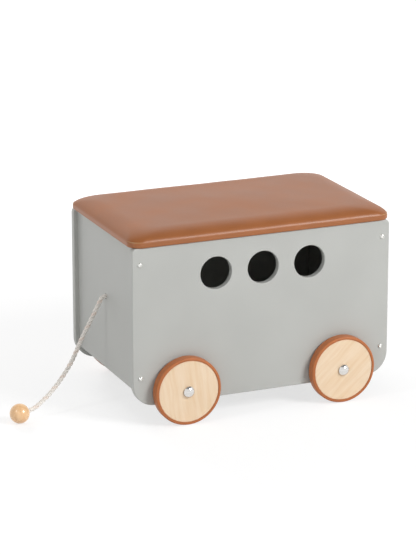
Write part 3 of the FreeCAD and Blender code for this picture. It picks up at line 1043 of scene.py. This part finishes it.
class FinishLidUnderside(bpy.types.Operator):
    """Finishes the lid's board, battens and dust cover"""

    bl_idname = "toy_box.finish_lid_underside"
    bl_label = "Finish Lid Underside"

    def execute(self, context):
        dress(fibreboard(), "lid_board")
        dress(bonded_cloth(), "lid_dust_cover")
        dress(sawn_wood("#dfbd8c", "Pine batten, long", "X"), "front_batten", "back_batten")
        dress(sawn_wood("#dfbd8c", "Pine batten, short", "Y"), "left_batten", "right_batten")
        return {"FINISHED"}


def rounded_rings(half_x, half_y, inset, corner, corner_points=22, side_points=(34, 22)):
    """Rounded rectangles, one for each inset, as rings by points by 2.

    A corner point is its corner's centre plus the radius times the cosine and sine of its
    angle. A side point lies on the straight line between the corner points at its two ends.
    """
    quarter = np.linspace(0.0, math.pi / 2, corner_points)
    angles, signs, weights, ends = [], [], [], []
    corners = ((1, 1), (-1, 1), (-1, -1), (1, -1))
    for index, (here, following) in enumerate(zip(corners, corners[1:] + corners[:1])):
        start = index * math.pi / 2
        across = side_points[index % 2]
        count = corner_points + across
        angles.append(np.concatenate([start + quarter, np.full(across, start + math.pi / 2)]))
        signs.append(np.tile(here, (count, 1)))
        ends.append(np.tile(following, (count, 1)))
        weights.append(
            np.concatenate([np.zeros(corner_points), np.linspace(0, 1, across + 2)[1:-1]])
        )
    angle, weight = np.concatenate(angles), np.concatenate(weights)[:, None]
    sign, end = np.concatenate(signs), np.concatenate(ends)
    half = np.array([half_x, half_y]) - inset[:, None]
    reach = corner[:, None, None] * np.stack([np.cos(angle), np.sin(angle)], 1)[None]
    room = (half - corner[:, None])[:, None, :]
    return room * sign * (1 - weight) + room * end * weight + reach


def cushion_grid(cushion):
    """The padded lid's closed skin as a grid of rings from its underside to its crown.

    The profile runs in from the lip to the edge rounding, a quarter circle, up the side, and
    over the shoulder, a quarter ellipse: inset w (1 - cos a), height h sin a. Past the
    shoulder the rings shrink by a share t to the middle, and the crown rises by
    (1 - t squared) squared. The foam's unevenness is a sum of slow sine waves.
    """
    low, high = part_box("lid_cover")
    half_x, half_y = high.x, high.y
    z0, z1 = low.z, high.z
    wide, tall, rounding = cushion.shoulder_width, cushion.shoulder_height, cushion.edge_rounding
    side_top = z1 - tall
    # The cover's cut edge is tucked up under the board.
    tucked = z0 + 1.05 * MM
    arc = np.linspace(0.0, math.pi / 2, 9)[1:]
    shoulder = np.linspace(0.0, math.pi / 2, 30)[1:]
    lip_in = np.linspace(cushion.lip, rounding, 8)
    inset = np.concatenate(
        [
            [cushion.lip + 0.3 * MM],
            lip_in,
            rounding * (1 - np.sin(arc)),
            [0.0] * 3,
            wide * (1 - np.cos(shoulder)),
        ]
    )
    height = np.concatenate(
        [
            [tucked],
            np.full(len(lip_in), z0),
            z0 + rounding * (1 - np.cos(arc)),
            np.linspace(z0 + rounding, side_top, 4)[1:],
            side_top + tall * np.sin(shoulder),
        ]
    )
    under = np.linspace(0.0, 1.0, 5)[:-1]
    over = np.linspace(1.0, 0.0, 26)[1:]
    radius = cushion.corner_radius
    # The corners grow rounder towards the top, where the foam gives way most.
    rise = np.clip((height - side_top) / tall, 0.0, 1.0)
    tightest = 8 * MM
    corner = np.where(inset > 0, np.maximum(radius - inset, tightest), radius)
    corner = np.where(height >= side_top - 1e-9, radius + 0.45 * inset + 6 * MM * rise, corner)
    rings = rounded_rings(half_x, half_y, inset, corner)
    first, last = rings[0], rings[-1]
    plan = np.concatenate(
        [first[None] * under[:, None, None], rings, last[None] * over[:, None, None]]
    )
    level = np.concatenate(
        [
            np.full(len(under), tucked),
            height,
            z1 + cushion.crown * (1 - over**2) ** 2,
        ]
    )
    points = np.concatenate([plan, np.broadcast_to(level[:, None, None], (*plan.shape[:2], 1))], 2)
    points = np.concatenate([points, points[:, :1]], 1)
    x, y = points[..., 0], points[..., 1]
    # Slow rises and dips of the foam, full on the shoulder and none at the lip.
    soft = np.clip((points[..., 2] - (z0 + rounding)) / tall, 0.0, 1.0)
    waves = (
        np.sin(x * 19.0 + 0.7) * np.cos(y * 23.0 - 0.4)
        + 0.6 * np.sin(x * 41.0 - y * 17.0 + 1.9)
        + 0.4 * np.cos(x * 67.0 + y * 53.0 + 0.3)
    )
    points[..., 2] += cushion.unevenness * 0.5 * waves * soft * (1 - 0.4 * soft)
    # The cover is gathered in small folds where it turns under each corner.
    to_corner = np.hypot(half_x - np.abs(x), half_y - np.abs(y))
    bearing = np.arctan2(half_y - np.abs(y), half_x - np.abs(x))
    on_lip = np.abs(points[..., 2] - z0) < 1e-5
    gather_reach, gather_height, folds = 52 * MM, 0.55 * MM, 26
    fade = np.clip(1 - to_corner / gather_reach, 0.0, 1.0)
    fold = 0.5 + 0.5 * np.cos(bearing * folds)
    points[..., 2] += np.where(on_lip, gather_height * fade * fold, 0)
    uv = points[..., :2].copy()
    return points, uv


class PadLid(bpy.types.Operator):
    """Makes the padded lid's leatherette cover over its foam"""

    bl_idname = "toy_box.pad_lid"
    bl_label = "Pad Lid"

    def execute(self, context):
        scene = context.scene
        finish = leatherette(tuple(scene.toy_box_finishes.leatherette))
        points, uv = cushion_grid(scene.toy_box_cushion)
        cushion = surface("lid_cushion", points, uv, finish)
        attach(cushion, LID_BODY)
        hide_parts("lid_cover", "lid_foam")
        return {"FINISHED"}


def ball_grid(centre, axis, radius, bore_radius, bore_depth, rounding):
    """A ball with a bore, turned about the bore's axis and closed at both poles.

    The profile goes from the far pole round the sphere, over a small rounding into the bore,
    down its wall and across its floor to the axis. The rounding's circle touches the sphere
    from inside and the bore's wall.
    """
    hold = bore_radius + rounding
    inner = radius - rounding
    mouth = math.asin(hold / inner)
    round_ball = np.linspace(math.pi, mouth, 60)
    turn_in = np.linspace(mouth, -math.pi / 2, 10)[1:]
    circle_along = inner * math.cos(mouth)
    outward = np.concatenate(
        [
            radius * np.sin(round_ball),
            hold + rounding * np.sin(turn_in),
            [bore_radius, 0.0],
        ]
    )
    along = np.concatenate(
        [
            radius * np.cos(round_ball),
            circle_along + rounding * np.cos(turn_in),
            [radius - bore_depth, radius - bore_depth],
        ]
    )
    outward[0] = 0.0
    turn = np.linspace(0.0, 2 * math.pi, 97)
    up = np.array([0.0, 0.0, 1.0])
    side = unit(up - axis * (up @ axis))
    other = np.cross(axis, side)
    round_it = side * np.cos(turn)[:, None] + other * np.sin(turn)[:, None]
    points = centre + axis * along[:, None, None] + round_it[None] * outward[:, None, None]
    uv = np.stack(np.broadcast_arrays(turn[None, :], along[:, None]), -1)
    return points, uv


def cord_line():
    """The cord's own line: a NURBS spline through the route, read back as points."""
    data = bpy.data.curves.new("cord_line", "CURVE")
    data.dimensions = "3D"
    data.resolution_u = 24
    spline = data.splines.new("NURBS")
    spline.points.add(len(CORD_ROUTE) - 1)
    route = np.array([(*point, 1.0) for point in CORD_ROUTE])
    spline.points.foreach_set("co", route.ravel())
    spline.order_u = 3
    spline.use_endpoint_u = True
    holder = bpy.data.objects.new("cord_line", data)
    bpy.context.scene.collection.objects.link(holder)
    bpy.context.view_layer.update()
    mesh = bpy.data.meshes.new_from_object(holder)
    line = np.zeros(len(mesh.vertices) * 3)
    mesh.vertices.foreach_get("co", line)
    bpy.data.objects.remove(holder)
    bpy.data.curves.remove(data)
    bpy.data.meshes.remove(mesh)
    return line.reshape(-1, 3)


def knot_path(start, inner, radius):
    """The cord through the wall and its stopper knot, two turns wrapped round the cord.

    The cord goes straight in, bends out at its far end, comes back as a helix round itself and
    ends against the wall. Its distance out grows as a quarter sine squared over the bend, and
    its turn and its retreat grow evenly along the way.
    """
    turns, bend = 2.15, 0.16
    reach = 1.53 * radius * 0.62
    straight = np.linspace(0.0, 1.0, 30)[:, None]
    core = start + (inner + np.array([reach, 0.0, 0.0]) - start) * straight
    t = np.linspace(0.0, 1.0, 160)[1:]
    bent = np.sin(np.clip(t / bend, 0, 1) * math.pi / 2)
    out = bent**2 * (0.64 * radius)
    angle = 0.6 + 2 * math.pi * turns * np.clip((t - 0.04) / 0.96, 0, 1)
    forward = reach + 0.55 * radius * bent
    retreat = 1.14 * radius * np.clip((t - bend) / (1 - bend), 0, 1)
    wrap = np.stack(
        [inner[0] + forward - retreat, out * np.sin(angle), inner[2] + out * np.cos(angle)], 1
    )
    return np.concatenate([core, wrap])


class MakePullCord(bpy.types.Operator):
    """Makes the twisted pull cord, its stopper knot and the ball on its end"""

    bl_idname = "toy_box.make_pull_cord"
    bl_label = "Make Pull Cord"

    def execute(self, context):
        scene = context.scene
        cord, finishes = scene.toy_box_cord, scene.toy_box_finishes
        cotton = twisted_cotton(tuple(finishes.cotton), cord.strands)

        line = cord_line()
        points, uv, path = rope_grid(line, cord.diameter, cord.lay, cord.strands)
        rope = surface("pull_cord_rope", points, uv, cotton)
        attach(rope, MAIN_BODY)
        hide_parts("pull_cord")

        knot_low, knot_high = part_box("cord_knot")
        start = np.array(CORD_ROUTE[0])
        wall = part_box("left_end_panel")[1].x
        inner = np.array([wall, start[1], start[2]])
        way_in = knot_path(start, inner, (knot_high.z - knot_low.z) / 2)
        knot_points, knot_uv, _ = rope_grid(
            way_in, cord.diameter * 0.98, cord.lay, cord.strands, around=42
        )
        knot = surface("stopper_knot", knot_points, knot_uv, cotton)
        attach(knot, MAIN_BODY)
        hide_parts("cord_knot")

        low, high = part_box("pull_ball")
        centre = np.array((low + high) / 2)
        end = np.array(CORD_ROUTE[-1])
        radius = (high.z - low.z) / 2
        axis = unit(end - centre)
        bore_radius = cord.diameter / 2 + BORE_SLACK
        grid, ball_uv = ball_grid(centre, axis, radius, bore_radius, BORE_DEPTH, BORE_ROUNDING)
        wood = turned_wood(tuple(finishes.ball), "Beech ball, lacquered", centre, 0.7)
        ball = surface("pull_ball_turned", grid, ball_uv, wood, sharp_angle=50)
        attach(ball, MAIN_BODY)
        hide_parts("pull_ball")

        return {"FINISHED"}


class SetStage(bpy.types.Operator):
    """Sets the camera, the floor, the background and the soft studio lamps"""

    bl_idname = "toy_box.set_stage"
    bl_label = "Set Stage"

    def execute(self, context):
        scene = context.scene
        studio = scene.toy_box_studio
        scene.view_settings.view_transform = "Standard"

        level = math.cos(CAMERA_TILT)
        across = (math.sin(CAMERA_TURN) * level, -math.cos(CAMERA_TURN) * level)
        back = Vector((*across, math.sin(CAMERA_TILT)))
        right = Vector((math.cos(CAMERA_TURN), math.sin(CAMERA_TURN), 0.0))
        up = back.cross(right)
        lens = bpy.data.cameras.new("camera")
        lens.sensor_width = SENSOR_WIDTH
        lens.lens = LENS_LENGTH
        lens.shift_x, lens.shift_y = LENS_SHIFT
        lens.clip_start, lens.clip_end = 0.1, 100.0
        camera = bpy.data.objects.new("camera", lens)
        turn = Matrix((right, up, back)).transposed().to_4x4()
        camera.matrix_world = Matrix.Translation(CAMERA_PLACE) @ turn
        scene.collection.objects.link(camera)
        scene.camera = camera

        half = studio.floor_size / 2
        side = np.array([-half, half])
        x, y = np.meshgrid(side, side)
        points = np.stack([x, y, np.zeros((2, 2))], -1)
        floor = surface("floor", points, points[..., :2], self.floor_finish())
        self.background(scene, studio.sky)
        self.lamp(scene, "front_lamp", studio.front_lamp, *FRONT_LAMP)
        self.lamp(scene, "side_lamp", studio.side_lamp, *SIDE_LAMP)
        # The back lamp only fills: the lid doesn't mirror it.
        fill = self.lamp(scene, "back_lamp", studio.back_lamp, *BACK_LAMP)
        fill.visible_glossy = False
        return {"FINISHED"}

    def floor_finish(self):
        """Seamless white paper: it shows as clean white and keeps a faint shadow."""
        finish, tree = new_finish("Paper, white")
        ray = add_node(tree, "ShaderNodeLightPath")
        place = add_node(tree, "ShaderNodeTexCoord").outputs["Object"]
        fibre = add_node(
            tree, "ShaderNodeTexNoise", {"Scale": 1 / 0.003, "Detail": 2.0}, {"Vector": place}
        ).outputs["Fac"]
        tone = add_node(
            tree,
            "ShaderNodeMix",
            {MIX_A: with_alpha(linear("#9c9c9c")), MIX_B: with_alpha(linear("#a0a0a0"))},
            {"Factor": fibre},
            data_type="RGBA",
        ).outputs[MIX_COLOUR]
        shown = add_node(tree, "ShaderNodeBsdfDiffuse", links={"Color": tone})
        # The paper fades to clear white from 0.8 m to 2 m out.
        reach = add_node(
            tree, "ShaderNodeVectorMath", links={0: place}, operation="LENGTH"
        ).outputs["Value"]
        strength = add_node(
            tree,
            "ShaderNodeMapRange",
            {"From Min": 0.8, "From Max": 2.0, "To Min": 0.70, "To Max": 1.0},
            {"Value": reach},
            interpolation_type="SMOOTHSTEP",
        ).outputs["Result"]
        glow = add_node(
            tree, "ShaderNodeEmission", {"Color": (1.0, 1.0, 1.0, 1.0)}, {"Strength": strength}
        )
        both = add_node(
            tree,
            "ShaderNodeAddShader",
            links={0: shown.outputs[0], 1: glow.outputs[0]},
        )
        plain = add_node(tree, "ShaderNodeBsdfDiffuse", {"Color": (0.8, 0.8, 0.8, 1.0)})
        seen = add_node(
            tree,
            "ShaderNodeMath",
            links={0: ray.outputs["Is Camera Ray"], 1: ray.outputs["Is Glossy Ray"]},
            operation="MAXIMUM",
        )
        seen = add_node(
            tree,
            "ShaderNodeMath",
            links={0: seen.outputs[0], 1: ray.outputs["Is Transmission Ray"]},
            operation="MAXIMUM",
        )
        chosen = add_node(
            tree,
            "ShaderNodeMixShader",
            links={0: seen.outputs[0], 1: plain.outputs[0], 2: both.outputs[0]},
        )
        add_node(tree, "ShaderNodeOutputMaterial", links={"Surface": chosen.outputs[0]})
        return finish

    def background(self, scene, strength):
        """White all round to the eye. Gloss sees white near the horizon and a darker ceiling."""
        world = bpy.data.worlds.new("studio")
        world.use_nodes = True
        tree = world.node_tree
        tree.nodes.clear()
        ray = add_node(tree, "ShaderNodeLightPath")
        way = add_node(tree, "ShaderNodeTexCoord").outputs["Generated"]
        height = add_node(tree, "ShaderNodeSeparateXYZ", links={"Vector": way}).outputs["Z"]
        ceiling = add_node(
            tree,
            "ShaderNodeMapRange",
            {"From Min": 0.60, "From Max": 0.80, "To Min": 1.0, "To Max": 0.30},
            {"Value": height},
            interpolation_type="SMOOTHSTEP",
        ).outputs["Result"]
        clear = add_node(
            tree,
            "ShaderNodeMath",
            links={0: ray.outputs["Is Glossy Ray"], 1: ray.outputs["Is Transmission Ray"]},
            operation="MAXIMUM",
        ).outputs[0]
        soft = add_node(
            tree,
            "ShaderNodeMix",
            {"A": strength},
            {"Factor": clear, "B": ceiling},
            data_type="FLOAT",
        ).outputs["Result"]
        shown = add_node(
            tree,
            "ShaderNodeMix",
            {"B": 1.0},
            {"Factor": ray.outputs["Is Camera Ray"], "A": soft},
            data_type="FLOAT",
        ).outputs["Result"]
        light = add_node(
            tree, "ShaderNodeBackground", {"Color": (1.0, 1.0, 1.0, 1.0)}, {"Strength": shown}
        )
        add_node(tree, "ShaderNodeOutputWorld", links={"Surface": light.outputs[0]})
        scene.world = world

    def lamp(self, scene, name, power, place, target, size):
        """A square soft lamp that faces a point."""
        data = bpy.data.lights.new(name, "AREA")
        data.shape = "SQUARE"
        data.size = size
        data.energy = power
        lamp = bpy.data.objects.new(name, data)
        lamp.location = place
        lamp.rotation_euler = (Vector(target) - Vector(place)).to_track_quat("-Z", "Y").to_euler()
        scene.collection.objects.link(lamp)
        return lamp


STEPS = (
    SetStage,
    MakePullCord,
    PadLid,
    PaintWalls,
    FinishWheels,
    FinishHardware,
    FinishLidUnderside,
)
GROUPS = {
    "toy_box_finishes": ToyBoxFinishes,
    "toy_box_cushion": ToyBoxCushion,
    "toy_box_cord": ToyBoxCord,
    "toy_box_studio": ToyBoxStudio,
}


class ToyBoxPanel(bpy.types.Panel):
    """Sizes, colours and making steps of the toy box"""

    bl_idname = "VIEW3D_PT_toy_box"
    bl_label = "Toy Box"
    bl_space_type = "VIEW_3D"
    bl_region_type = "UI"
    bl_category = "Toy Box"

    def draw(self, context):
        for step in STEPS:
            self.layout.operator(step.bl_idname)
        for name, group in GROUPS.items():
            box = self.layout.box()
            settings = getattr(context.scene, name)
            for key in group.__annotations__:
                box.prop(settings, key)


def register():
    for group in GROUPS.values():
        bpy.utils.register_class(group)
    for step in STEPS:
        bpy.utils.register_class(step)
    bpy.utils.register_class(ToyBoxPanel)
    for name, group in GROUPS.items():
        setattr(bpy.types.Scene, name, bpy.props.PointerProperty(type=group))


def unregister():
    for name in GROUPS:
        delattr(bpy.types.Scene, name)
    bpy.utils.unregister_class(ToyBoxPanel)
    for step in reversed(STEPS):
        bpy.utils.unregister_class(step)
    for group in reversed(tuple(GROUPS.values())):
        bpy.utils.unregister_class(group)


def main():
    register()
    bpy.ops.toy_box.set_stage()
    bpy.ops.toy_box.make_pull_cord()
    bpy.ops.toy_box.pad_lid()
    bpy.ops.toy_box.paint_walls()
    bpy.ops.toy_box.finish_wheels()
    bpy.ops.toy_box.finish_hardware()
    bpy.ops.toy_box.finish_lid_underside()
    bpy.context.view_layer.update()


if __name__ == "__main__":
    main()
